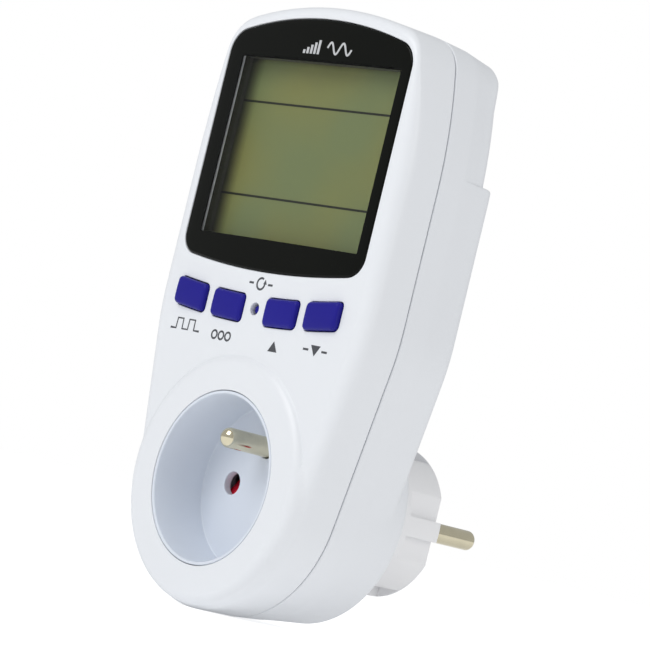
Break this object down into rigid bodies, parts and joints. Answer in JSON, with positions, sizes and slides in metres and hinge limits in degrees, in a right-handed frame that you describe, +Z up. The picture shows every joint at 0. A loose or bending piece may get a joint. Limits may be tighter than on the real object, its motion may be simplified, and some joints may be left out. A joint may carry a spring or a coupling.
{
  "type": "plug in power meter",
  "caption": "Plug-in mains power meter: display and keys above a recessed earthed socket, with a round earthed plug on the back.",
  "frame": {"origin": "centre of the plug's contact face, on the common axis of the plug and the socket", "axes": "+Y the way the plug pins point into the wall, -Y out of the socket and the display, +Z up along the body with the display at the top"},
  "size_m": [0.0748, 0.0774, 0.1436],
  "materials": {
    "case_white": "fine moulded satin",
    "insert_white": "fine moulded satin",
    "plug_white": "fine moulded satin",
    "window_black": "polished, black printed border",
    "lcd_glass": "olive reflective liquid crystal",
    "key_blue": "matte silicone rubber",
    "shutter_red": "satin",
    "nickel": "plated",
    "contact_brass": "stamped",
    "copper": "stamped copper alloy",
    "steel": "zinc plated",
    "board_green": "solder mask on glass laminate",
    "carrier_grey": "moulded",
    "black_plastic": "moulded epoxy",
    "carbon": "carbon loaded",
    "strip_pink": "layered conductive rubber",
    "film_yellow": "box film capacitor",
    "sleeve_blue": "heat-shrunk sleeve and dipped coating",
    "battery_green": "heat-shrunk sleeve",
    "resistor_body": "flameproof lacquer",
    "wire_brown": "insulated wire",
    "wire_blue": "insulated wire",
    "ribbon_grey": "flat ribbon"
  },
  "bodies": {
    "housing": {"backup_battery": "battery_green", "case_screw_1": "steel", "case_screw_2": "steel", "case_screw_3": "steel", "case_screw_4": "steel", "clock_crystal": "nickel", "contact_carrier": "carrier_grey", "contact_strip_lower": "strip_pink", "contact_strip_upper": "strip_pink", "display_board": "board_green", "display_chip": "black_plastic", "display_screw_1": "steel", "display_screw_2": "steel", "display_screw_3": "steel", "display_screw_4": "steel", "display_window": "window_black", "dropper_capacitor": "film_yellow", "earth_bracket": "nickel", "earth_pin": "nickel", "earth_tube": "contact_brass", "front_shell": "case_white", "fuse_resistor": "resistor_body", "keypad_mat": "key_blue", "lcd_frame": "carrier_grey", "lcd_panel": "lcd_glass", "line_contact": "contact_brass", "line_wire": "wire_brown", "load_wire": "wire_brown", "metering_chip": "black_plastic", "neutral_contact": "contact_brass", "neutral_link": "copper", "neutral_wire": "wire_blue", "plug_body": "plug_white", "plug_pin_line": "nickel", "plug_pin_neutral": "nickel", "power_board": "board_green", "power_screw_1": "steel", "power_screw_2": "steel", "rear_shell": "case_white", "rectifier": "black_plastic", "ribbon_cable": "ribbon_grey", "shunt": "copper", "shutter_spring": "steel", "smoothing_capacitor": "sleeve_blue", "socket_insert": "insert_white", "varistor": "sleeve_blue", "x2_capacitor": "film_yellow"},
    "function_key": {"key_function": "key_blue", "key_function_pill": "carbon"},
    "cost_key": {"key_cost": "key_blue", "key_cost_pill": "carbon"},
    "up_key": {"key_up": "key_blue", "key_up_pill": "carbon"},
    "down_key": {"key_down": "key_blue", "key_down_pill": "carbon"},
    "reset_key": {"key_reset": "key_blue", "key_reset_pill": "carbon"},
    "shutter": {"shutter": "shutter_red"}
  },
  "joints": [
    {"name": "function_key_press", "type": "slide", "parent": "housing", "child": "function_key", "axis": [0, 1, 0], "range_m": [0, 0.001], "stiffness_N_per_m": 400},
    {"name": "cost_key_press", "type": "slide", "parent": "housing", "child": "cost_key", "axis": [0, 1, 0], "range_m": [0, 0.001], "stiffness_N_per_m": 400},
    {"name": "up_key_press", "type": "slide", "parent": "housing", "child": "up_key", "axis": [0, 1, 0], "range_m": [0, 0.001], "stiffness_N_per_m": 400},
    {"name": "down_key_press", "type": "slide", "parent": "housing", "child": "down_key", "axis": [0, 1, 0], "range_m": [0, 0.001], "stiffness_N_per_m": 400},
    {"name": "reset_key_press", "type": "slide", "parent": "housing", "child": "reset_key", "axis": [0, 1, 0], "range_m": [0, 0.0008], "stiffness_N_per_m": 400},
    {"name": "shutter_slide", "type": "slide", "parent": "housing", "child": "shutter", "axis": [0, 0, -1], "range_m": [0, 0.006], "stiffness_N_per_m": 120, "deforming": ["shutter_spring"]}
  ]
}
